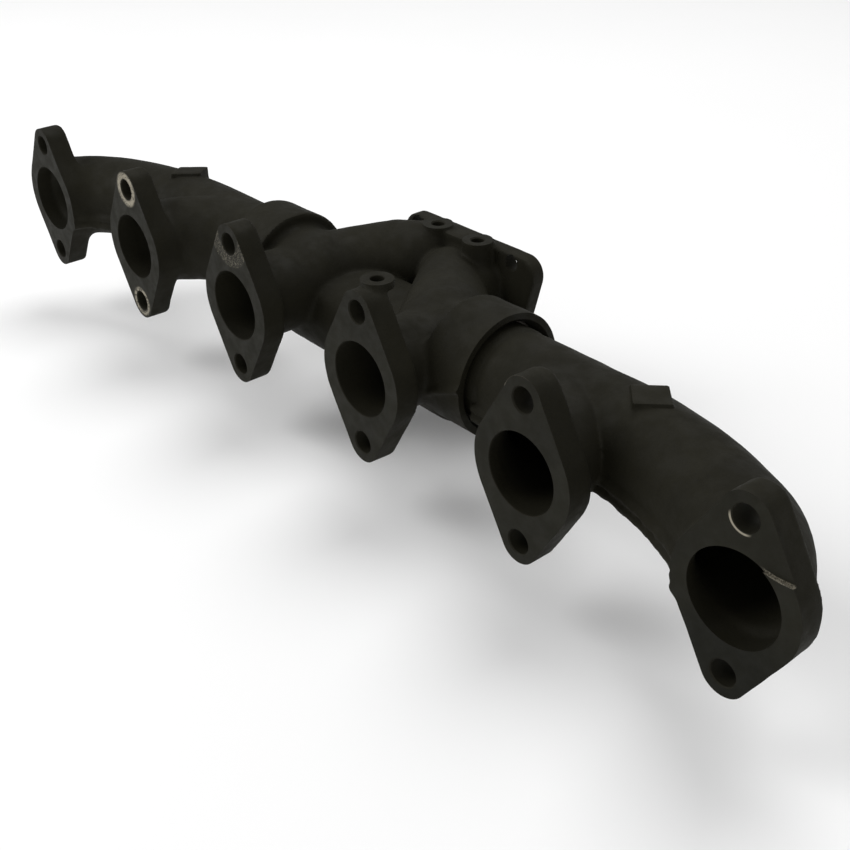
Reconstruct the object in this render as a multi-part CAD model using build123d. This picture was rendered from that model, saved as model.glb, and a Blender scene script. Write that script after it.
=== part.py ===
"""Three-piece log exhaust manifold for a heavy-duty inline-six diesel engine.

Frame: origin on the cylinder-head face, halfway between ports 3 and 4, at port-centre height.
+X runs along the port row towards port 6, +Y points away from the head, +Z is up.
Millimetres throughout.
"""
from build123d import *
from math import asin, atan, cos, radians, sin
import os

# ---- driving dimensions ---------------------------------------------------------------------
PORT_PITCH = 160.0        # spacing of the six ports along the head
LOG_OFFSET = 80.0         # log and slip-joint axis, out from the head face

# port flanges
PORT_R = 28.0             # gas port bore
FLANGE_T = 20.0           # thickness of a port flange
FLANGE_R = 42.0           # flange radius round the port
EAR_R = 16.0              # flange radius round each bolt hole
BOLT_RISE = 51.5          # bolt holes above and below the port centre
BOLT_HOLE_R = 8.5
FLANGE_FILLET = 1.5

# log pipe and necks
LOG_R = 37.5              # outside of the log pipe
LOG_BORE_R = 29.5
NECK_R = 33.5             # outside of the neck or runner between a port flange and the log
RUNNER_STRAIGHT = 8.0     # the mid port's runner leaves square to the head, then sweeps into the log
RUNNER_BEND_R = LOG_OFFSET - RUNNER_STRAIGHT
BEND_R = 72.0             # tight bend into an end port
BEND_PAST = 12.0          # the tight bend would only be square to the port this far inside the head
BORE_TURN = 64.0          # how far the swept bore has turned, in degrees, where the port bore takes over

# slip joints
COLLAR_R = 47.5
COLLAR_INNER_X = 104.0    # shoulder of the collar, from the centre of the manifold
COLLAR_OUTER_X = 146.0    # mouth of the collar
COLLAR_BORE_R = 39.0
COLLAR_BORE_X = 108.0     # inner end of the bore that the male end slides in
SPIGOT_R = 37.0
SPIGOT_END_X = 111.0      # male end's tip: 3 mm short of the bore's inner end
SPIGOT_ROOT_X = 152.0

# seal rings
RING_X = (117.0, 125.0, 133.0)   # middle of each ring groove
RING_W = 3.0
RING_OUTER_R = COLLAR_BORE_R - 0.05
RING_INNER_R = 34.6
GROOVE_R = 34.0
GROOVE_W = RING_W + 0.1
RING_GAP = 1.6            # end gap of the split ring
RING_GAP_STEP = 120.0     # the gaps are clocked round, so gas has no straight way through

# centre section
HUB_END_X = 75.0          # the log bore ends here, rounded, inside the centre section
BRANCH_R = 31.0           # outside of the two branch pipes to the turbocharger
BRANCH_BORE_R = 23.5
BRANCH_STEP_DOWN = 0.4    # each piece of a bent branch is this much slimmer than the last
FRONT_BRANCH = [(-84, 80), (-79, 110), (-65, 135), (-38, 152)]   # plan of each centre line
REAR_BRANCH = [(75, 80), (5, 149)]
FRONT_BORE_END = (-43, 149)   # each bore stops short of its pipe's end and opens into the flange
REAR_BORE_END = (16, 138)
TURBO_Z = -13.5           # height of the turbocharger flange's centre
TURBO_Y0 = 167.0          # engine side of the flange
TURBO_FACE_Y = 179.0      # mating face
TURBO_LOW_X = -78.0       # the flange reaches a little further on the +X side
TURBO_HIGH_X = 86.0
TURBO_TOP = 52.0          # flange edge above and below its centre
TURBO_CORNER_R = 20.0
TURBO_WAIST = 15.0        # how far the sides pull in at mid height
TURBO_BOLT_X = 56.0       # 112 x 89 mm bolt rectangle
TURBO_BOLT_Z = 44.5
TURBO_BOLT_R = 6.75
SPOTFACE_CLEAR = 20.0     # bolt holes break through anything this far behind the flange
OPENING_W = 36.0          # each of the two gas openings in the flange
OPENING_H = 66.0
OPENING_R = 14.0
OPENING_DEPTH = 24.0
DIVIDER_W = 8.0           # wall between the two openings
OUTLET_WALL = 6.5         # wall of the box-shaped outlet behind the openings
OUTLET_Y0 = 146.0
COLLECTOR_R = 42.0        # body that joins the two branches below their crotch
COLLECTOR_Y = 91.0
COLLECTOR_Z = -19.0

# bosses
BOSS_R = 13.0             # two upright bosses on the turbocharger flange's top edge
BOSS_X = 23.5
BOSS_Y = 162.0
BOSS_TOP = 42.0
BOSS_TAP_R = 5.1
BOSS_TAP_DEPTH = 18.0
LUG_R = 12.5              # thin drilled lug behind the tip of port flange 4
LUG_X = 77.5
LUG_Y = 20.5
LUG_TOP = 69.5
LUG_T = 6.5
LUG_HOLE_R = 5.0
LEDGE_TOP = 38.5          # ledge that joins the two bosses
LEDGE_Y0 = 157.0

# blank raised pads on top of the end sections
PAD_TOP = 39.5
FRONT_PAD = [(-292, 84), (-283, 70), (-268, 88), (-277, 102)]
REAR_PAD = [(254, 80), (271, 64), (289, 80), (271, 96)]

CUT = 2.0                 # how far a cutting tool overruns the face it leaves through


def rod(radius, start, end):
    """Cylinder of the given radius between two points."""
    axis = Vector(*end) - Vector(*start)
    plane = Plane(origin=start, z_dir=axis)
    return extrude(plane * Circle(radius), axis.length)


def pipe(radius, path):
    """Round bar along a tangent path."""
    return sweep(Plane(origin=path @ 0, z_dir=path % 0) * Circle(radius), path)


def diamond(x, thickness):
    """Two-bolt port flange standing on the head face."""
    slope = asin((FLANGE_R - EAR_R) / BOLT_RISE)
    side, tip = FLANGE_R * cos(slope), EAR_R * cos(slope)
    side_z, tip_z = FLANGE_R * sin(slope), BOLT_RISE + EAR_R * sin(slope)
    top = BOLT_RISE + EAR_R
    outline = [
        Line((side, side_z), (tip, tip_z)),
        ThreePointArc((tip, tip_z), (0, top), (-tip, tip_z)),
        Line((-tip, tip_z), (-side, side_z)),
        ThreePointArc((-side, side_z), (-FLANGE_R, 0), (-side, -side_z)),
        Line((-side, -side_z), (-tip, -tip_z)),
        ThreePointArc((-tip, -tip_z), (0, -top), (tip, -tip_z)),
        Line((tip, -tip_z), (side, -side_z)),
        ThreePointArc((side, -side_z), (FLANGE_R, 0), (side, side_z)),
    ]
    plane = Plane(origin=(x, 0, 0), x_dir=(1, 0, 0), z_dir=(0, -1, 0))
    plate = extrude(plane * make_face(Curve() + outline), -thickness)
    back = plate.edges().group_by(Axis.Y)[-1]
    return fillet(back, FLANGE_FILLET)


def bolt_holes(x):
    """Pair of clearance holes in a port flange."""
    holes = Part()
    for z in (BOLT_RISE, -BOLT_RISE):
        holes += rod(BOLT_HOLE_R, (x, -CUT, z), (x, FLANGE_T + EAR_R, z))
    return holes


def end_path(sign, last_turn):
    """Centre line from port 5 (or 2): a long gentle bend, then a tight one towards the end port.

    last_turn is the heading at which it stops, in degrees away from the log's own axis.
    """
    x0, x1 = 1.5 * PORT_PITCH, 2.5 * PORT_PITCH
    run, drop = x1 - x0 - BEND_R, LOG_OFFSET + BEND_PAST - BEND_R
    turn = 2 * atan(drop / run)
    long_r = BEND_R + run / sin(turn)
    centre = (x1 - BEND_R, -BEND_PAST)

    def on_long(angle):
        return (sign * (x0 + long_r * sin(angle)), LOG_OFFSET - long_r * (1 - cos(angle)))

    def on_tight(angle):
        return (sign * (centre[0] + BEND_R * sin(angle)), centre[1] + BEND_R * cos(angle))

    last = radians(last_turn)
    return Wire([
        ThreePointArc(on_long(0), on_long(turn / 2), on_long(turn)),
        ThreePointArc(on_tight(turn), on_tight((turn + last) / 2), on_tight(last)),
    ])


def runner_path(sign):
    """Centre line of the mid port's runner: square off the head, then a quarter turn into the log."""
    x0, r = 1.5 * PORT_PITCH, RUNNER_BEND_R
    half = radians(45)
    middle = (sign * (x0 - r + r * cos(half)), RUNNER_STRAIGHT + r * sin(half))
    return Wire([
        Line((sign * x0, -CUT), (sign * x0, RUNNER_STRAIGHT)),
        ThreePointArc((sign * x0, RUNNER_STRAIGHT), middle, (sign * (x0 - r), LOG_OFFSET)),
    ])


def end_section(sign):
    """Two-port end section: male slip end, log pipe, mid port and swept end port."""
    mid_x, end_x = sign * 1.5 * PORT_PITCH, sign * 2.5 * PORT_PITCH

    def on_log(x):
        return (sign * x, LOG_OFFSET, 0)

    body = pipe(LOG_R, end_path(sign, 90))
    body += rod(LOG_R, on_log(SPIGOT_ROOT_X), on_log(1.5 * PORT_PITCH))
    body += rod(SPIGOT_R, on_log(SPIGOT_END_X), on_log(SPIGOT_ROOT_X + CUT))
    body += pipe(NECK_R, runner_path(sign))
    body -= Pos((mid_x + end_x) / 2, -LOG_OFFSET / 2, 0) * Box(2 * PORT_PITCH, LOG_OFFSET, PORT_PITCH)
    body += diamond(mid_x, FLANGE_T) + diamond(end_x, FLANGE_T)
    pad = make_face(Polyline(*(FRONT_PAD if sign < 0 else REAR_PAD), close=True))
    body += extrude(Plane(origin=(0, 0, LOG_BORE_R)) * pad, PAD_TOP - LOG_BORE_R)

    body -= pipe(LOG_BORE_R, end_path(sign, BORE_TURN))
    body -= rod(LOG_BORE_R, on_log(SPIGOT_END_X - CUT), on_log(1.5 * PORT_PITCH))
    body -= pipe(PORT_R, runner_path(sign))
    body -= rod(PORT_R, (end_x, -CUT, 0), (end_x, FLANGE_T, 0))
    body -= bolt_holes(mid_x) + bolt_holes(end_x)
    for x in RING_X:
        body -= ring_blank(sign * x, SPIGOT_R + CUT, GROOVE_R, GROOVE_W)
    return body


def ring_blank(x, outer, inner, width):
    """Plain ring on the slip-joint axis, centred on x."""
    low, high = (x - width / 2, LOG_OFFSET, 0), (x + width / 2, LOG_OFFSET, 0)
    return rod(outer, low, high) - rod(inner, (low[0] - CUT, *low[1:]), (high[0] + CUT, *high[1:]))


def seal_ring(x, gap_angle):
    """Split seal ring with its end gap turned to the given angle."""
    ring = ring_blank(x, RING_OUTER_R, RING_INNER_R, RING_W)
    cutter = Pos(x, LOG_OFFSET, 0) * Rot(gap_angle, 0, 0) * Pos(0, 0, RING_OUTER_R - CUT)
    return ring - cutter * Box(RING_W + CUT, RING_GAP, 4 * CUT)


def domed_bar(radius, start, end):
    """Round bar at port-centre height with a ball-shaped far end."""
    axis = Vector(*end) - Vector(*start)
    flat, tip = axis.length, axis.length + radius
    turn = cos(radians(45))
    outline = [
        Line((0, 0, 0), (radius, 0, 0)),
        Line((radius, 0, 0), (radius, 0, flat)),
        ThreePointArc((radius, 0, flat), (radius * turn, 0, flat + radius * turn), (0, 0, tip)),
        Line((0, 0, tip), (0, 0, 0)),
    ]
    return Plane(origin=(*start, 0), z_dir=axis).location * revolve(make_face(outline), Axis.Z)


def bent_bar(radius, plan):
    """Domed bars end to end; each is a little slimmer than the one before."""
    bar = Part()
    for i, (start, end) in enumerate(zip(plan, plan[1:])):
        bar += domed_bar(radius - i * BRANCH_STEP_DOWN, start, end)
    return bar


def turbo_outline():
    """Edge of the turbocharger flange in its own plane: waisted sides and rounded corners."""
    low, high = TURBO_LOW_X, TURBO_HIGH_X
    return Polyline(
        (low, TURBO_TOP), (high, TURBO_TOP), (high - TURBO_WAIST, 0), (high, -TURBO_TOP),
        (low, -TURBO_TOP), (low + TURBO_WAIST, 0), close=True,
    )


def turbo_plate():
    """Turbocharger flange blank."""
    plane = Plane(origin=(0, TURBO_FACE_Y, TURBO_Z), x_dir=(1, 0, 0), z_dir=(0, -1, 0))
    face = make_face(turbo_outline())
    face = fillet(face.vertices(), TURBO_CORNER_R)
    return extrude(plane * face, TURBO_FACE_Y - TURBO_Y0)


def duct(sign, wall, y0, y1):
    """Rounded box round a gas opening of the turbocharger flange, one for each bank of three ports."""
    x = sign * (OPENING_W + DIVIDER_W) / 2
    plane = Plane(origin=(x, y1, TURBO_Z), x_dir=(1, 0, 0), z_dir=(0, -1, 0))
    outline = RectangleRounded(OPENING_W + 2 * wall, OPENING_H + 2 * wall, OPENING_R + wall)
    return extrude(plane * outline, y1 - y0)


def centre_section():
    """Two-port centre section with female collars and the turbocharger flange."""
    def on_log(x):
        return (x, LOG_OFFSET, 0)

    shoulder = (COLLAR_INNER_X, COLLECTOR_Y, COLLECTOR_Z)
    body = rod(COLLECTOR_R, (-COLLAR_INNER_X, COLLECTOR_Y, COLLECTOR_Z), shoulder)
    body += bent_bar(BRANCH_R, FRONT_BRANCH) + bent_bar(BRANCH_R, REAR_BRANCH)
    for sign in (-1, 1):
        port_x = sign * PORT_PITCH / 2
        body += rod(COLLAR_R, on_log(sign * COLLAR_INNER_X), on_log(sign * COLLAR_OUTER_X))
        body += domed_bar(LOG_R, (sign * COLLAR_INNER_X, LOG_OFFSET), (sign * HUB_END_X, LOG_OFFSET))
        body += rod(NECK_R, (port_x, FLANGE_T / 2, 0), (port_x, LOG_OFFSET, 0))
        body += duct(sign, OUTLET_WALL, OUTLET_Y0, TURBO_Y0)
        body += diamond(port_x, FLANGE_T)
    body -= Pos(0, TURBO_FACE_Y + PORT_PITCH / 2, 0) * Box(2 * PORT_PITCH, PORT_PITCH, 2 * PORT_PITCH)
    body += turbo_plate()
    for sign in (-1, 1):
        x = sign * BOSS_X
        body += rod(BOSS_R, (x, BOSS_Y, TURBO_Z), (x, BOSS_Y, BOSS_TOP))
    ledge_y, ledge_z = (LEDGE_Y0 + TURBO_FACE_Y) / 2, (LEDGE_TOP + TURBO_Z) / 2
    body += Pos(0, ledge_y, ledge_z) * Box(2 * BOSS_X, TURBO_FACE_Y - LEDGE_Y0, LEDGE_TOP - TURBO_Z)
    body += rod(LUG_R, (LUG_X, LUG_Y, LUG_TOP - LUG_T), (LUG_X, LUG_Y, LUG_TOP))

    for sign in (-1, 1):
        port_x, stud_x, boss_x = sign * PORT_PITCH / 2, sign * TURBO_BOLT_X, sign * BOSS_X
        body -= bolt_holes(port_x)
        body -= rod(COLLAR_BORE_R, on_log(sign * COLLAR_BORE_X), on_log(sign * (COLLAR_OUTER_X + CUT)))
        body -= domed_bar(LOG_BORE_R, (sign * (COLLAR_BORE_X + CUT), LOG_OFFSET), (sign * HUB_END_X, LOG_OFFSET))
        body -= duct(sign, 0, TURBO_FACE_Y - OPENING_DEPTH, TURBO_FACE_Y + CUT)
        body -= rod(PORT_R, (port_x, -CUT, 0), on_log(port_x))
        for z in (TURBO_Z - TURBO_BOLT_Z, TURBO_Z + TURBO_BOLT_Z):
            spotface, mouth = (stud_x, TURBO_Y0 - SPOTFACE_CLEAR, z), (stud_x, TURBO_FACE_Y + CUT, z)
            body -= rod(TURBO_BOLT_R, spotface, mouth)
        bottom, mouth = BOSS_TOP - BOSS_TAP_DEPTH, BOSS_TOP + CUT
        body -= rod(BOSS_TAP_R, (boss_x, BOSS_Y, bottom), (boss_x, BOSS_Y, mouth))
    body -= rod(LUG_HOLE_R, (LUG_X, LUG_Y, LUG_TOP - LUG_T - CUT), (LUG_X, LUG_Y, LUG_TOP + CUT))
    body -= bent_bar(BRANCH_BORE_R, FRONT_BRANCH[:-1] + [FRONT_BORE_END])
    body -= bent_bar(BRANCH_BORE_R, REAR_BRANCH[:-1] + [REAR_BORE_END])
    return body


def save(name, shape):
    shape.label = name
    export_step(shape, f"parts/{name}.step")


os.makedirs("parts", exist_ok=True)
save("front_section", end_section(-1))
save("centre_section", centre_section())
save("rear_section", end_section(1))
for side, sign in (("front", -1), ("rear", 1)):
    for i, x in enumerate(RING_X):
        save(f"{side}_seal_ring_{i + 1}", seal_ring(sign * x, i * RING_GAP_STEP))
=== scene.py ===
"""Looks of a three-piece log exhaust manifold: cast sections, machined faces and slip-joint rings.

The head face is the plane y = 0, the ports lie along x and z is up, with x = 0 midway between ports 3 and 4.
Casting shapes are worked out there in millimetres and scaled to metres as they are made. Each casting is a
distance field (negative inside) on its own Grid, called g; the field gives the rough cast skin, and boolean
cuts then give the machined faces and bores.
"""

import functools
import math

import bmesh
import bpy
import numpy as np
import openvdb
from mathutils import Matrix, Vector


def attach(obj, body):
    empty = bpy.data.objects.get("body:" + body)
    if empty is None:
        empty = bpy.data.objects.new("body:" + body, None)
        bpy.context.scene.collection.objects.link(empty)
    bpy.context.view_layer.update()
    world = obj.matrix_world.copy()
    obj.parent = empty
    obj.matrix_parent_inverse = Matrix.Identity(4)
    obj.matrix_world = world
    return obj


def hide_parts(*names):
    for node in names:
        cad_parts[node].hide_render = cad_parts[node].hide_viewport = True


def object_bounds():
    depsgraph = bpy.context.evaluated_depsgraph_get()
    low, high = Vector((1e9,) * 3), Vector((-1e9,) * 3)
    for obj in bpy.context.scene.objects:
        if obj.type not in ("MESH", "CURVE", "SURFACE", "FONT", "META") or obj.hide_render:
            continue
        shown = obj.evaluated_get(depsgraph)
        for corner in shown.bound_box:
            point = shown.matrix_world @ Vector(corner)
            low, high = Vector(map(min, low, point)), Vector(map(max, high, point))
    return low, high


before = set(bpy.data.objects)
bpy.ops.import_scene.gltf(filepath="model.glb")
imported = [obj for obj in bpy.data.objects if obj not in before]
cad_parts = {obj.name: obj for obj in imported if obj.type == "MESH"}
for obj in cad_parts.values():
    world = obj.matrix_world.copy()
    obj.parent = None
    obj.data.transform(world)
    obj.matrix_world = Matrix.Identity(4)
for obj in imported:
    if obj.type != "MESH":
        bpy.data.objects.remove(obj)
cad_low, cad_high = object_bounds()

MM = 0.001
PITCH = 160.0                                      # port spacing
PORT_X = 0.5 * PITCH                               # ports of the centre section
MID_X, END_X = 1.5 * PITCH, 2.5 * PITCH            # ports of an end section
AXIS_Y = 80.0                                      # log and slip-joint axis, out from the head face
FLANGE_T, FLANGE_R, EAR_R, BOLT_RISE = 20.0, 42.0, 16.0, 51.5
PORT_R, BOLT_R, RUNNER_R = 28.0, 8.5, 33.5
LOG_R, LOG_BORE_R = 36.6, 29.5
COLLAR_R, COLLAR_X = 47.3, (104.0, 146.0)          # shoulder and mouth
COLLAR_BORE_R, COLLAR_BORE_X = 39.0, 108.0
MOUTH_DEPTH, MOUTH_FLARE = 5.0, 4.5                # cone in the collar's mouth
SPIGOT_R, SPIGOT_TIP_X, SPIGOT_ROOT_X = 37.0, 111.0, 151.0
GROOVE_X, GROOVE_W, GROOVE_R = (117.0, 125.0, 133.0), 3.1, 34.0
HUB_R, HUB_BORE_R, HUB_X = 37.0, 29.5, (-86.0, 75.0)
COLLECTOR_R, COLLECTOR_TOP = 42.0, 11.5            # fat bar that joins the two collars
BRANCH_BORE_R = 23.5
FRONT_BRANCH = [(-86, 80, 0), (-81, 96, 1), (-75, 113, 3), (-66, 129, 5), (-53, 143, 9), (-36, 153, 11)]
REAR_BRANCH = [(66.4, 90, 0), (5.9, 149.5, 5)]
TURBO_FACE_Y, TURBO_T, TURBO_Z = 179.0, 12.0, -13.5
TURBO_HALF_Z, TURBO_X, TURBO_CORNER = 52.0, (-77.5, 85.5), 20.0
TURBO_BOLT = (56.0, 44.5, 6.75)                    # x and z from the flange's middle, radius
DUCT_X, DUCT_HALF, DUCT_WALL = 22.0, (18.0, 33.0), 6.5             # each gas opening of the flange
BOSS_X, BOSS_Y, BOSS_TOP, BOSS_R, TAP_R = 23.5, 162.0, 42.0, 12.8, 5.1
LUG, LUG_R, LUG_T, LUG_HOLE_R = (77.5, 20.5, 69.5), 12.3, 6.5, 5.0
GROUND_Z, GROUND_DEPTH = 26.2, 2.9                 # end port's upper ear is ground back above this height
MACHINING = 4.0                                    # cast on beyond a face and cut off again
SHRINK = 0.42                                      # keeps the uneven skin inside the nominal size
FAR = 460.0                                        # past either end of the row


def link(data, name):
    """New object in the scene."""
    obj = bpy.data.objects.new(name, data)
    bpy.context.scene.collection.objects.link(obj)
    return obj


# ---- distance fields --------------------------------------------------------------------------
class Grid:
    """Evenly spaced sample points round one casting, kept as three open axes."""

    def __init__(self, low, high, step):
        self.low, self.step = np.array(low, float), step
        x, y, z = (np.arange(a, b + step, step, dtype=np.float32) for a, b in zip(low, high))
        self.x, self.y, self.z = x[:, None, None], y[None, :, None], z[None, None, :]
        self.shape = (len(x), len(y), len(z))


def merge(a, b, k):
    """Union with a fillet about k wide."""
    h = np.clip(0.5 + 0.5 * (b - a) / k, 0, 1)
    return b + (a - b) * h - k * h * (1 - h)


def carve(a, b, k):
    """a with b taken away, the edges eased over about k."""
    return -merge(-a, b, k)


def rounded(u, v, r):
    """Where two half spaces meet, with the outer edge rounded to radius r."""
    u, v = u + r, v + r
    return np.minimum(np.maximum(u, v), 0) + np.hypot(np.maximum(u, 0), np.maximum(v, 0)) - r


def rod(g, axis, start, end, radius, edge=1.5):
    """Rounded cylinder along a main axis, from start to a coordinate along that axis."""
    p = [g.x - start[0], g.y - start[1], g.z - start[2]]
    along = p.pop(axis)
    half = (end - start[axis]) / 2
    return rounded(np.hypot(*p) - radius, np.abs(along - half) - abs(half), edge)


def capsule(g, a, b, ra, rb=None):
    """Round bar between two points, tapering from ra to rb."""
    rb = ra if rb is None else rb
    a, b = np.array(a, float), np.array(b, float)
    d = b - a
    t = ((g.x - a[0]) * d[0] + (g.y - a[1]) * d[1] + (g.z - a[2]) * d[2]) / (d @ d)
    t = np.clip(t, 0, 1)
    dx, dy, dz = g.x - a[0] - t * d[0], g.y - a[1] - t * d[1], g.z - a[2] - t * d[2]
    return np.sqrt(dx ** 2 + dy ** 2 + dz ** 2) - (ra + (rb - ra) * t)


def plan_line(g, points):
    """Distance in plan from a run of straight pieces."""
    best = None
    for (ax, ay), (bx, by) in zip(points, points[1:]):
        dx, dy = bx - ax, by - ay
        t = np.clip(((g.x - ax) * dx + (g.y - ay) * dy) / (dx * dx + dy * dy), 0, 1)
        d = np.hypot(g.x - ax - t * dx, g.y - ay - t * dy)
        best = d if best is None else np.minimum(best, d)
    return best


def arc(centre, radius, first, last, count):
    """Points on a plan arc, angles in degrees."""
    turn = np.radians(np.linspace(first, last, count))
    return [(centre[0] + radius * math.cos(t), centre[1] + radius * math.sin(t)) for t in turn]


def tube(g, line, radius):
    """Round bar at height 0 along a plan line, given as the distance from that line."""
    return np.sqrt(line ** 2 + g.z ** 2) - radius


def sweep(g, points, radii):
    """Bent round bar through points in space, one radius at each."""
    legs = zip(points, points[1:], radii, radii[1:])
    return functools.reduce(np.minimum, (capsule(g, a, b, ra, rb) for a, b, ra, rb in legs))


def plate(g, corners, low, high, edge):
    """Flat-topped pad over a convex plan outline, corners counter-clockwise."""
    side = None
    for (ax, ay), (bx, by) in zip(corners, corners[1:] + corners[:1]):
        length = math.hypot(bx - ax, by - ay)
        d = ((g.x - ax) * (by - ay) - (g.y - ay) * (bx - ax)) / length
        side = d if side is None else np.maximum(side, d)
    return rounded(side, np.abs(g.z - (low + high) / 2) - (high - low) / 2, edge)


def diamond(g, port_x):
    """Two-bolt port flange; its front runs past the head face and is machined back later."""
    px, pz = np.abs(g.x - port_x), np.abs(g.z)
    slope = (FLANGE_R - EAR_R) / BOLT_RISE
    side = math.sqrt(1 - slope * slope)
    k = side * pz - slope * px
    flat = px * side + pz * slope - FLANGE_R
    inner, outer = np.hypot(px, pz) - FLANGE_R, np.hypot(px, pz - BOLT_RISE) - EAR_R
    outline = np.where(k < 0, inner, np.where(k > side * BOLT_RISE, outer, flat))
    mid, half = (FLANGE_T - MACHINING) / 2, (FLANGE_T + MACHINING) / 2
    return rounded(outline, np.abs(g.y - mid) - half, 2.2)


def ripple(g, seed, cell, height):
    """Smooth random unevenness of an as-cast skin."""
    rng = np.random.default_rng(seed)
    size = [int(n * g.step / cell) + 4 for n in g.shape]
    value = rng.uniform(-1, 1, size).astype(np.float32)
    for axis, a in enumerate((g.x, g.y, g.z)):
        at = (a.ravel() - a.ravel()[0]) / cell
        i = at.astype(int)
        f = at - i
        f = f * f * (3 - 2 * f)
        shape = [1, 1, 1]
        shape[axis] = -1
        f = f.reshape(shape).astype(np.float32)
        value = np.take(value, i, axis) * (1 - f) + np.take(value, i + 1, axis) * f
    return value * height


def as_cast(g, skin, seed, second_seed):
    """Skin with broad and fine unevenness."""
    return skin + ripple(g, seed, 22, 0.3) + ripple(g, second_seed, 7, 0.12) + SHRINK


def mesh_from(g, field, name):
    """Closed quad mesh of the field's zero surface, in metres."""
    volume = openvdb.FloatGrid(3 * g.step)
    volume.copyFromArray(np.array(np.broadcast_to(field, g.shape), dtype=np.float32, order="C"))
    points, quads = volume.convertToQuads(isovalue=0.0)
    points = (points * g.step + g.low) * MM
    mesh = bpy.data.meshes.new(name)
    mesh.from_pydata(points.tolist(), [], quads.tolist())
    return link(mesh, name)


# ---- crisp tools ------------------------------------------------------------------------------
def solid_from(bm):
    """Object from a closed bmesh, its faces turned outward."""
    bmesh.ops.recalc_face_normals(bm, faces=bm.faces)
    mesh = bpy.data.meshes.new("tool")
    bm.to_mesh(mesh)
    bm.free()
    return link(mesh, "tool")


def lathe(profile, origin, direction, count=96):
    """Solid of revolution; profile is (distance along direction, radius), millimetres."""
    bm = bmesh.new()
    z = Vector(direction).normalized()
    x = z.orthogonal().normalized()
    y = z.cross(x)
    rings = []
    for along, radius in profile:
        at = Vector(origin) + z * along
        if radius < 1e-6:
            rings.append([bm.verts.new(at * MM)])
        else:
            turn = [2 * math.pi * i / count for i in range(count)]
            spokes = [x * math.cos(t) + y * math.sin(t) for t in turn]
            rings.append([bm.verts.new((at + spoke * radius) * MM) for spoke in spokes])
    for a, b in zip(rings, rings[1:]):
        for i in range(count):
            j = (i + 1) % count
            loop = [a[i % len(a)], a[j % len(a)], b[j % len(b)], b[i % len(b)]]
            face = list(dict.fromkeys(loop))
            if len(face) > 2:
                bm.faces.new(face)
    if len(rings[0]) > 1 and profile[0] != profile[-1]:
        bm.faces.new(rings[0][::-1])
        bm.faces.new(rings[-1])
    elif len(rings[0]) > 1:
        bmesh.ops.remove_doubles(bm, verts=bm.verts, dist=1e-7)
    return solid_from(bm)


def prism(outline, origin, direction, up, depth):
    """Closed outline in a plane, pushed along direction."""
    z = Vector(direction).normalized()
    y = Vector(up).normalized()
    x = y.cross(z)
    bm = bmesh.new()
    rows = []
    for along in (0, depth):
        rows.append([bm.verts.new((Vector(origin) + x * u + y * v + z * along) * MM) for u, v in outline])
    n = len(outline)
    bm.faces.new(rows[0])
    bm.faces.new(rows[1][::-1])
    for i in range(n):
        j = (i + 1) % n
        bm.faces.new([rows[0][i], rows[1][i], rows[1][j], rows[0][j]])
    return solid_from(bm)


def block(low, high):
    """Box between two corners."""
    outline = [(low[0], low[2]), (high[0], low[2]), (high[0], high[2]), (low[0], high[2])]
    return prism([(-u, v) for u, v in outline], (0, low[1], 0), (0, 1, 0), (0, 0, 1), high[1] - low[1])


def combine(target, tools, operation):
    """Boolean of the target with each tool in turn; the tools are used up."""
    for tool in tools:
        step = target.modifiers.new("cut", "BOOLEAN")
        step.solver, step.operation, step.object = "MANIFOLD", operation, tool
        shape = bpy.data.meshes.new_from_object(target.evaluated_get(bpy.context.evaluated_depsgraph_get()))
        target.modifiers.remove(step)
        old, target.data = target.data, shape
        bpy.data.meshes.remove(old)
        bpy.data.objects.remove(tool)


def hole(x, y, z, direction, radius, depth, chamfer):
    """Drill with a chamfered mouth; it starts outside the face."""
    d, out = Vector(direction), 2
    flank = [(0, radius + chamfer + out), (out + chamfer, radius), (depth + out, radius)]
    return lathe([(0, 0)] + flank + [(depth + out, 0)], Vector((x, y, z)) - d * out, d, count=64)


def finish_mesh(obj):
    """Smooth shading with crisp machined edges; cut faces get the machined look."""
    mesh = obj.data
    mesh.shade_smooth()
    mesh.set_sharp_from_angle(angle=math.radians(38))
    mesh.materials.clear()
    mesh.materials.append(SKIN)
    mesh.materials.append(FLAT)
    count = len(mesh.polygons)
    normal, middle = np.empty(count * 3, np.float32), np.empty(count * 3, np.float32)
    mesh.polygons.foreach_get("normal", normal)
    mesh.polygons.foreach_get("center", middle)
    (_, facing_y, facing_z), (_, y, z) = normal.reshape(-1, 3).T, middle.reshape(-1, 3).T / MM
    square, level = 0.99, 0.1        # how well a face must point along an axis and lie in its plane
    flat = (facing_y < -square) & (y < GROUND_DEPTH + level)
    flat |= (facing_y > square) & (y > TURBO_FACE_Y - level)
    flat |= (facing_z > square) & (np.abs(z - BOSS_TOP) < level) & (y > BOSS_Y - 22)
    flat |= (facing_z > square) & (np.abs(z - GROUND_Z) < level) & (y < GROUND_DEPTH + level)
    mesh.polygons.foreach_set("material_index", flat.astype(np.int32))


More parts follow.
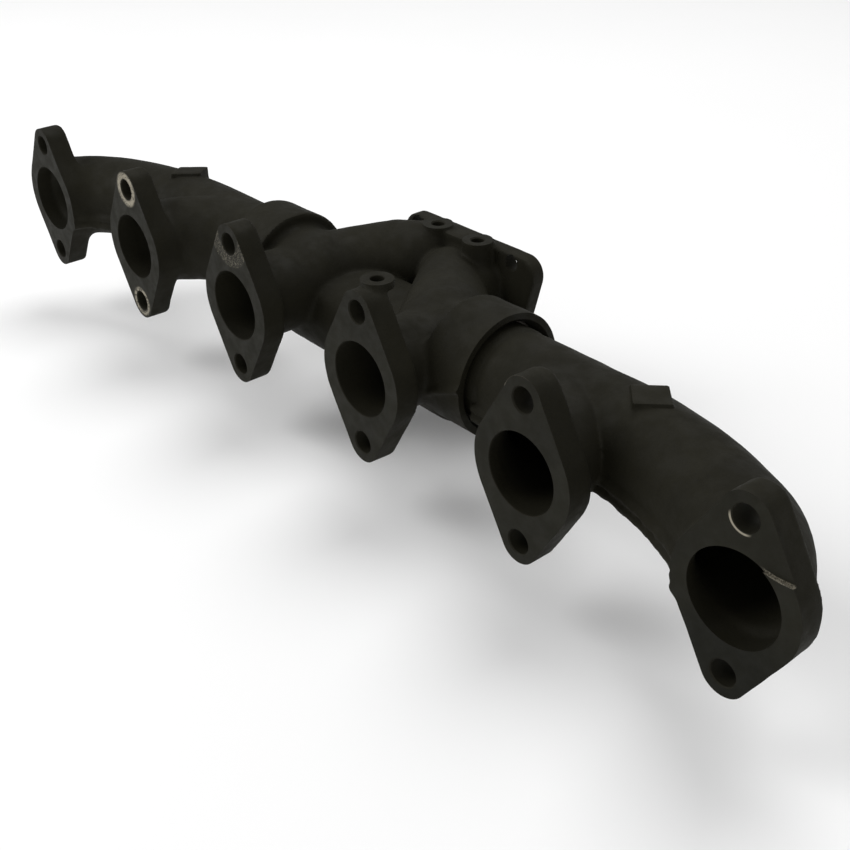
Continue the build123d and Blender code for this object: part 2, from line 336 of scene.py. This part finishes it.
# ---- materials --------------------------------------------------------------------------------
class Nodes:
    """Short-hand for wiring a shader."""

    def __init__(self, name):
        self.material = bpy.data.materials.new(name)
        self.material.use_nodes = True
        self.tree = self.material.node_tree
        self.shader = self.tree.nodes["Principled BSDF"]
        self.where = self.add("ShaderNodeTexCoord").outputs["Object"]

    def add(self, kind, **values):
        node = self.tree.nodes.new(kind)
        for key, value in values.items():
            setattr(node, key, value)
        return node

    def wire(self, source, socket):
        if isinstance(source, bpy.types.NodeSocket):
            self.tree.links.new(source, socket)
        else:
            socket.default_value = source

    def math(self, operation, a, b, clamp=False):
        node = self.add("ShaderNodeMath", operation=operation, use_clamp=clamp)
        for socket, value in zip(node.inputs, (a, b)):
            self.wire(value, socket)
        return node.outputs[0]

    def noise(self, scale, detail, rough=0.55, warp=0.0):
        node = self.add("ShaderNodeTexNoise")
        self.wire(self.where, node.inputs["Vector"])
        for key, value in (("Scale", scale), ("Detail", detail), ("Roughness", rough), ("Distortion", warp)):
            node.inputs[key].default_value = value
        return node.outputs["Fac"]

    def ramp(self, value, low, high, start=0.0, end=1.0):
        node = self.add("ShaderNodeMapRange", interpolation_type="SMOOTHSTEP")
        for socket, v in zip(node.inputs, (value, low, high, start, end)):
            self.wire(v, socket)
        return node.outputs[0]

    def mix(self, share, a, b):
        node = self.add("ShaderNodeMix", data_type="RGBA")
        self.wire(share, node.inputs["Factor"])
        self.wire(a, node.inputs["A"])
        self.wire(b, node.inputs["B"])
        return node.outputs["Result"]

    def bump(self, height, strength, distance, base=None):
        """Distance in metres."""
        node = self.add("ShaderNodeBump")
        node.inputs["Strength"].default_value = strength
        node.inputs["Distance"].default_value = distance
        self.wire(height, node.inputs["Height"])
        if base:
            self.wire(base, node.inputs["Normal"])
        return node.outputs["Normal"]

    def near(self, centre, inner, outer):
        """1 within the inner distance of a point in the row frame (mm), 0 beyond the outer."""
        node = self.add("ShaderNodeVectorMath", operation="DISTANCE")
        self.wire(self.where, node.inputs[0])
        node.inputs[1].default_value = Vector(centre) * MM
        return self.ramp(node.outputs["Value"], inner * MM, outer * MM, 1, 0)

    def band(self, centre, inner, outer, soft=0.6):
        """1 between two distances from a point."""
        within, inside = self.near(centre, outer, outer + soft), self.near(centre, inner, inner + soft)
        return self.math("SUBTRACT", within, inside, clamp=True)

    def set(self, **sockets):
        for key, value in sockets.items():
            self.wire(value, self.shader.inputs[key.replace("_", " ")])
        return self.material


def rgb(r, g, b):
    return (r, g, b, 1.0)


def cast_skin(name):
    """Dark heat-darkened iron with a fine sandy skin."""
    n = Nodes(name)
    patch = n.ramp(n.noise(22, 5, 0.6, 0.4), 0.32, 0.7)
    grain = n.noise(1400, 3, 0.6)
    pits = n.ramp(n.noise(420, 4, 0.65), 0.62, 0.72)
    colour = n.mix(patch, rgb(0.0076, 0.0070, 0.0038), rgb(0.0109, 0.0100, 0.0054))
    colour = n.mix(n.ramp(grain, 0.35, 0.65, 0, 0.35), colour, rgb(0.0146, 0.0131, 0.0076))
    colour = n.mix(n.math("MULTIPLY", pits, 0.5), colour, rgb(0.006, 0.0056, 0.0048))
    rough = n.ramp(n.noise(60, 4, 0.6), 0.3, 0.7, 0.62, 0.82)
    height = n.math("ADD", n.math("MULTIPLY", grain, 0.5), n.math("MULTIPLY", pits, -0.8))
    normal = n.bump(n.noise(240, 5, 0.6), 0.35, 0.0006)
    normal = n.bump(height, 0.35, 0.0003, normal)
    return n.set(Base_Color=colour, Roughness=rough, Specular_IOR_Level=0.12, Normal=normal)


def machined(name):
    """Flat machined iron under the same coating, rubbed bright round some bolt holes and edges, with a
    painted highlight along one ear rim.
    """
    n = Nodes(name)
    patch = n.ramp(n.noise(30, 4, 0.6, 0.5), 0.35, 0.7)
    grain = n.noise(1800, 3, 0.6)
    colour = n.mix(patch, rgb(0.0084, 0.0079, 0.0044), rgb(0.0107, 0.0101, 0.0057))
    foot_darkening = n.math("MULTIPLY", n.near((END_X, 0, -52), 22, 62), 0.75)      # darker round the foot of port 6's face
    colour = n.mix(foot_darkening, colour, rgb(0.0045, 0.0046, 0.0024))

    scratch, streak = n.noise(260, 6, 0.7, 1.5), n.noise(900, 4, 0.7, 2.0)
    # the first mask picks the upper-left arc of port 5's ear rim, where a painted highlight goes
    rim_highlight, nick = n.near((MID_X - 7, 0, 64), 9, 13), n.near((END_X - 5, 0, 44), 6, 10)
    ground_edge = n.band((END_X + 24, 0, GROUND_Z + 50), 49.2, 50.6, 0.5)
    ground_end = n.near((END_X + 26, 2, GROUND_Z), 9, 15)
    rubbed_and_highlight = [       # washers of port 2, ear of port 3, painted highlight on the rim of port 5, bolt hole and ground step of port 6
        (n.band((-MID_X, 0, BOLT_RISE), 8, 13.0, 3.0), n.ramp(scratch, 0.36, 0.52)),
        (n.band((-MID_X, 0, -52), 8, 11.5, 3.0), n.ramp(scratch, 0.40, 0.56)),
        (n.band((-PORT_X, 0, 58), 12.5, 24, 2.0), n.ramp(streak, 0.55, 0.62)),
        (n.band((MID_X, 0, BOLT_RISE), 15.4, 17), rim_highlight),
        (n.band((END_X, 0, BOLT_RISE), 9, 10.2), nick),
        (n.math("MULTIPLY", ground_edge, ground_end), n.ramp(streak, 0.46, 0.56, 0.1, 0.7)),
    ]
    bare_and_highlight = 0.0
    for place, marks in rubbed_and_highlight:
        bare_and_highlight = n.math("MAXIMUM", bare_and_highlight, n.math("MULTIPLY", place, marks))
    # bare iron colour for the rubbed marks, also used as the painted highlight on port 5's rim
    colour = n.mix(bare_and_highlight, colour, rgb(0.27, 0.245, 0.19))
    rough = n.ramp(n.noise(90, 4, 0.6), 0.3, 0.7, 0.55, 0.72)
    normal = n.bump(grain, 0.25, 0.0002)
    return n.set(Base_Color=colour, Roughness=rough, Specular_IOR_Level=0.12, Normal=normal)


def ring_steel(name):
    """Dark turned steel of the seal rings."""
    n = Nodes(name)
    turn = n.noise(2400, 2, 0.5)
    colour = n.mix(n.noise(120, 4, 0.6), rgb(0.045, 0.040, 0.036), rgb(0.075, 0.068, 0.060))
    rough = n.ramp(turn, 0.3, 0.7, 0.42, 0.58)
    return n.set(Base_Color=colour, Roughness=rough, Metallic=1.0, Normal=n.bump(turn, 0.2, 0.0001))


SKIN, FLAT, STEEL = cast_skin("cast_skin"), machined("machined_face"), ring_steel("ring_steel")


def cover(obj, body, nodes):
    """Rides the piece on its body and has it stand for its CAD nodes."""
    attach(obj, body)
    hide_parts(*nodes)


# ---- end sections -----------------------------------------------------------------------------
def log_line(g, sign):
    """Plan distance from the log's centre line: straight, a long gentle bend, then a tight one."""
    bend, past = 72.0, 12.0          # radius of the tight bend, and how far past the head face it ends
    run, drop = END_X - MID_X - bend, AXIS_Y + past - bend
    turn = 2 * math.atan(drop / run)
    long_r = bend + run / math.sin(turn)
    deg = math.degrees(turn)
    line = [(SPIGOT_TIP_X - 20, AXIS_Y), (MID_X, AXIS_Y)]
    line += arc((MID_X, AXIS_Y - long_r), long_r, 90, 90 - deg, 14)[1:]
    line += arc((END_X - bend, -past), bend, 90 - deg, 0, 14)[1:]
    return plan_line(g, [(sign * x, y) for x, y in line])


def runner(g, sign, thin=0.0):
    """Mid port's runner: square off the head, swelling as it sweeps into the log."""
    turn = np.linspace(0, math.radians(80), 9)
    reach, start_y = 90, 4           # half axis of the elliptical sweep along the row, and where it starts
    rise = AXIS_Y - start_y
    points = [(sign * MID_X, -12, 0)]
    for t in turn:
        points.append((sign * (MID_X - reach + reach * math.cos(t)), start_y + rise * math.sin(t), 0))
    radii = [RUNNER_R] + [min(RUNNER_R + 6 * t, LOG_R) for t in turn]
    return sweep(g, points, [r - thin for r in radii])


def end_section(sign):
    """One end casting with its swept log, two port flanges and turned male end."""
    low_x, high_x = (96.0, 446.0) if sign > 0 else (-446.0, -96.0)
    g = Grid((low_x, -8.0, -72.0), (high_x, 124.0, 72.0), 1.6)
    mid_x, end_x = sign * MID_X, sign * END_X
    log = log_line(g, sign)

    skin = merge(tube(g, log, LOG_R), runner(g, sign), 2.5)
    skin = merge(skin, diamond(g, mid_x), 8)
    skin = merge(skin, diamond(g, end_x), 9)
    skin = merge(skin, parting_rib(g, sign, log), 3)
    if sign < 0:                     # thicker bolt bosses behind the lower ears
        for x in (mid_x, end_x):
            skin = merge(skin, rod(g, 1, (x, 12, -45), 25.5, 11.5), 1)
    skin = as_cast(g, skin, 11 + sign, 21 + sign)
    skin = merge(skin, pad(g, sign), 1.2)
    bore = merge(tube(g, log, PORT_R + 0.2), runner(g, sign, 5.4), 4)
    bore = merge(bore, rod(g, 1, (end_x, -20, 0), 14, PORT_R, 1), 8)
    skin = carve(skin, bore, 1.0)
    side = "rear" if sign > 0 else "front"
    body = mesh_from(g, skin, side + "_casting")

    root = sign * (SPIGOT_ROOT_X - 1.5)
    near_x, far_x = sorted((root, root - sign * 80))
    combine(body, [head_side(), block((near_x, -40, -90), (far_x, 160, 90))], "DIFFERENCE")
    combine(body, [spigot(sign)], "UNION")
    drills = []
    for port_x in (mid_x, end_x):
        drills.append(hole(port_x, 0, 0, (0, 1, 0), PORT_R, 4, 0.5))
        for z in (BOLT_RISE, -BOLT_RISE):
            drills.append(hole(port_x, 0, z, (0, 1, 0), BOLT_R, 40, 0.8))
    if sign > 0:                     # end port's upper ear is ground back on one side
        wedge = [(end_x - 14, 0), (end_x + 46, GROUND_DEPTH), (end_x + 46, -6), (end_x - 14, -6)]
        drills.append(prism(wedge, (0, 0, GROUND_Z), (0, 0, 1), (0, 1, 0), 60))
    combine(body, drills, "DIFFERENCE")
    finish_mesh(body)
    cover(body, side, [side + "_section"])


def spigot(sign):
    """Turned male end with its ring grooves."""
    profile = [(SPIGOT_ROOT_X + 3, LOG_BORE_R), (SPIGOT_ROOT_X + 3, LOG_R - 1.5), (SPIGOT_ROOT_X, SPIGOT_R)]
    for x in GROOVE_X[::-1]:
        left, right = x - GROOVE_W / 2, x + GROOVE_W / 2
        profile += [(right, SPIGOT_R), (right, GROOVE_R), (left, GROOVE_R), (left, SPIGOT_R)]
    profile += [(SPIGOT_TIP_X + 1.5, SPIGOT_R), (SPIGOT_TIP_X, SPIGOT_R - 1.5)]
    profile += [(SPIGOT_TIP_X, LOG_BORE_R + 1), (SPIGOT_TIP_X + 1, LOG_BORE_R), profile[0]]
    return lathe(profile, (0, AXIS_Y, 0), (sign, 0, 0), count=128)


def head_side():
    """Everything beyond the head face, cut off when the flanges are machined."""
    return block((-FAR, -30, -90), (FAR, 0, 90))


def parting_rib(g, sign, log):
    """Rough rib where the mould halves met, low on the log's head side."""
    gap = log - LOG_R
    rib = np.minimum(np.hypot(gap, g.z + 9) - 3.6, np.hypot(gap + 1, g.z + 16) - 4.6)
    far = np.abs(g.x)
    span = np.minimum(np.abs(far - 183) - 36, np.abs(far - 318) - 62)
    return np.maximum(np.maximum(rib + ripple(g, 31 + sign, 4, 0.5), span), g.y - 62)


def pad(g, sign):
    """Blank raised pad on the top of the log."""
    if sign > 0:
        return plate(g, [(254, 80), (271, 63), (289, 80), (271, 97)], 28, 39.3, 0.8)
    return plate(g, [(-294, 82), (-282, 65), (-265, 86), (-277, 102)], 24, 39.3, 0.8)


# ---- centre section ---------------------------------------------------------------------------
def turbo_plate(g):
    """Turbocharger flange blank with waisted sides; its face is machined back later."""
    mid_x, half_x = sum(TURBO_X) / 2, (TURBO_X[1] - TURBO_X[0]) / 2
    px, pz = np.abs(g.x - mid_x), np.abs(g.z - TURBO_Z)
    slant = 15.0 / TURBO_HALF_Z      # each side comes in 15 mm towards the middle
    side = (px - half_x + (TURBO_HALF_Z - pz) * slant) / math.hypot(1, slant)
    outline = rounded(side, pz - TURBO_HALF_Z, TURBO_CORNER)
    back, front = TURBO_FACE_Y - TURBO_T, TURBO_FACE_Y + MACHINING
    return rounded(outline, np.abs(g.y - (back + front) / 2) - (front - back) / 2, 2.0)


def duct(g, sign, wall, y0, y1, edge):
    """Rounded box round one gas opening of the turbocharger flange."""
    half_x, half_z = DUCT_HALF
    across, up = np.abs(g.x - sign * DUCT_X) - half_x - wall, np.abs(g.z - TURBO_Z) - half_z - wall
    side = rounded(across, up, 14 + wall)
    return rounded(side, np.abs(g.y - (y0 + y1) / 2) - (y1 - y0) / 2, edge)


def centre_skin(g):
    """Outside of the middle casting."""
    shoulder, mouth = COLLAR_X
    skin = rod(g, 0, (-shoulder, 91, -19), shoulder, COLLECTOR_R, 12)
    skin = rounded(skin, g.z - COLLECTOR_TOP, 14)
    front = sweep(g, FRONT_BRANCH, [36, 33.5, 32, 31.5, 31, 30])
    skin = merge(skin, merge(front, capsule(g, *REAR_BRANCH, 37.6, 27.8), 3), 3)
    for s, hub_x in zip((-1, 1), HUB_X):
        skin = merge(skin, rod(g, 1, (s * PORT_X, 4, 0), AXIS_Y, RUNNER_R, 6), 5)
        skin = merge(skin, capsule(g, (s * shoulder, AXIS_Y, 0), (hub_x, AXIS_Y, 0), HUB_R), 4)
    for s in (-1, 1):
        skin = merge(skin, duct(g, s, DUCT_WALL, 146, 172, 3), 4)
        skin = merge(skin, rod(g, 0, (s * shoulder, AXIS_Y, 0), s * (mouth + MACHINING), COLLAR_R, 2.5), 5)
        skin = merge(skin, diamond(g, s * PORT_X), 6)
    skin = merge(skin, turbo_plate(g), 4)
    ledge = rounded(np.abs(g.x) - BOSS_X, np.abs(g.z - 13) - 26.5, 2)
    skin = merge(skin, rounded(ledge, np.abs(g.y - 168) - 10.5, 2), 2)
    for s in (-1, 1):
        skin = merge(skin, rod(g, 2, (s * BOSS_X, BOSS_Y, TURBO_Z), BOSS_TOP + 2, BOSS_R), 3)
    skin = merge(skin, rod(g, 2, (LUG[0], LUG[1], LUG[2] - LUG_T), LUG[2] + 2, LUG_R, 1.2), 2)
    seam = sweep(g, [(106, 35, -12), (126, 32.5, -2), (145, 32.5, 6)], [2.5, 2.5, 2.5])
    return as_cast(g, merge(skin, seam, 3), 5, 6)


def centre_passages(g):
    """Gas passages of the middle casting, from ports and logs to the turbocharger flange."""
    inside = sweep(g, FRONT_BRANCH[:-1] + [(-43, 149, 6)], [BRANCH_BORE_R] * 6)
    inside = np.minimum(inside, capsule(g, (75, 80, 0), (16, 138, 0), BRANCH_BORE_R))
    for s in (-1, 1):
        hub = capsule(g, (s * 120, AXIS_Y, 0), (s * PORT_X, AXIS_Y, 0), HUB_BORE_R)
        hub = merge(hub, rod(g, 1, (s * PORT_X, -20, 0), AXIS_Y, PORT_R, 1), 3)
        inside = np.minimum(merge(inside, hub, 3), duct(g, s, 0, 155, 200, 2))
    return inside


def collar_bore(sign):
    """Bore that a spigot runs in, opening out in a cone at the mouth."""
    flare_x, mouth_x, mouth_r = COLLAR_X[1] - MOUTH_DEPTH, COLLAR_X[1] + 2, COLLAR_BORE_R + MOUTH_FLARE
    profile = [(COLLAR_BORE_X, 0), (COLLAR_BORE_X, COLLAR_BORE_R), (flare_x, COLLAR_BORE_R)]
    profile += [(mouth_x, mouth_r), (mouth_x, 0)]
    return lathe(profile, (0, AXIS_Y, 0), (sign, 0, 0), count=128)


def turbo_bolt_hole(sign, up):
    """Bolt hole through the turbocharger flange, and the spotface behind it."""
    x, z, radius = TURBO_BOLT
    x, z = sign * x, TURBO_Z + up * z
    tight = sign < 0 < up            # the front branch passes close behind this hole
    deep, seat_r, seat_depth = (16, 10.5, 1.5) if tight else (34, 15, 20)
    seat = [(0, 0), (0, seat_r), (seat_depth, seat_r), (seat_depth, 0)]
    return [hole(x, TURBO_FACE_Y, z, (0, -1, 0), radius, deep, 0.4),
            lathe(seat, (x, TURBO_FACE_Y - TURBO_T + 0.5, z), (0, -1, 0))]


def centre_section():
    """Middle casting: two ports, two female collars and the branches to the turbocharger flange."""
    g = Grid((-150.0, -8.0, -72.0), (150.0, 186.0, 74.0), 1.7)
    body = mesh_from(g, carve(centre_skin(g), centre_passages(g), 1.0), "centre_casting")
    mouth = COLLAR_X[1]
    combine(body, [
        head_side(),
        block((-FAR, TURBO_FACE_Y, -90), (FAR, 220, 90)),
        block((-200, 0, -90), (-mouth, 160, 90)),
        block((mouth, 0, -90), (200, 160, 90)),
        block((-50, 140, BOSS_TOP), (50, 190, 90)),
        block((50, -10, LUG[2]), (110, 60, 90)),
    ], "DIFFERENCE")
    drills = []
    for s in (-1, 1):
        drills.append(collar_bore(s))
        drills.append(hole(s * PORT_X, 0, 0, (0, 1, 0), PORT_R, 14, 0.5))
        for z in (BOLT_RISE, -BOLT_RISE):
            drills.append(hole(s * PORT_X, 0, z, (0, 1, 0), BOLT_R, 40, 0.8))
        for up in (-1, 1):
            drills += turbo_bolt_hole(s, up)
        drills.append(hole(s * BOSS_X, BOSS_Y, BOSS_TOP, (0, 0, -1), TAP_R, 18, 1.0))
    drills.append(hole(*LUG, (0, 0, -1), LUG_HOLE_R, 8.5, 0.5))
    combine(body, drills, "DIFFERENCE")
    finish_mesh(body)
    cover(body, "centre", ["centre_section"])


end_section(-1)
centre_section()
end_section(1)

for side in ("front", "rear"):
    for i in (1, 2, 3):
        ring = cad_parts[f"{side}_seal_ring_{i}"]
        ring.data.materials.clear()
        ring.data.materials.append(STEEL)


# ---- floor, light and camera ------------------------------------------------------------------
def floor():
    """Wide pale floor a little below the casting."""
    mesh = bpy.data.meshes.new("floor")
    s, z = 14.0, cad_low[2] - 0.045
    mesh.from_pydata([(-s, -s, z), (s, -s, z), (s, s, z), (-s, s, z)], [], [(0, 1, 2, 3)])
    n = Nodes("floor_paper")
    n.set(Base_Color=n.mix(n.noise(3, 2), rgb(0.86, 0.86, 0.86), rgb(0.88, 0.88, 0.88)), Roughness=0.9,
          Specular_IOR_Level=0.1)
    mesh.materials.append(n.material)
    link(mesh, "floor")


def softbox(name, place, aim, size, power):
    """Round area light, in metres and watts."""
    light = bpy.data.lights.new(name, "AREA")
    light.shape, light.size, light.energy = "DISK", size, power
    obj = link(light, name)
    obj.location = place
    obj.rotation_euler = (Vector(aim) - Vector(place)).to_track_quat("-Z", "Y").to_euler()


floor()
softbox("key", (-1.8, -1.9, 2.2), (0, 0.05, 0), 2.2, 68)
softbox("fill", (2.3, -1.3, 0.9), (0.1, 0.05, 0), 1.6, 11)
softbox("top", (-0.4, 1.4, 3.0), (0, 0.05, 0), 2.4, 54)
bpy.context.scene.view_settings.view_transform = "Standard"
world = bpy.data.worlds.new("studio")
world.use_nodes = True
world.node_tree.nodes["Background"].inputs["Color"].default_value = rgb(1, 1, 1)
world.node_tree.nodes["Background"].inputs["Strength"].default_value = 0.44
bpy.context.scene.world = world

camera = bpy.data.cameras.new("camera")
camera.lens, camera.sensor_width = 51.64, 36.0
camera.shift_x, camera.shift_y = -0.0047, 0.0047
eye = link(camera, "camera")
eye.location = (0.6807, -0.4416, 0.408)
eye.rotation_euler = [math.radians(angle) for angle in (58.881, 0.716, 49.578)]
bpy.context.scene.camera = eye
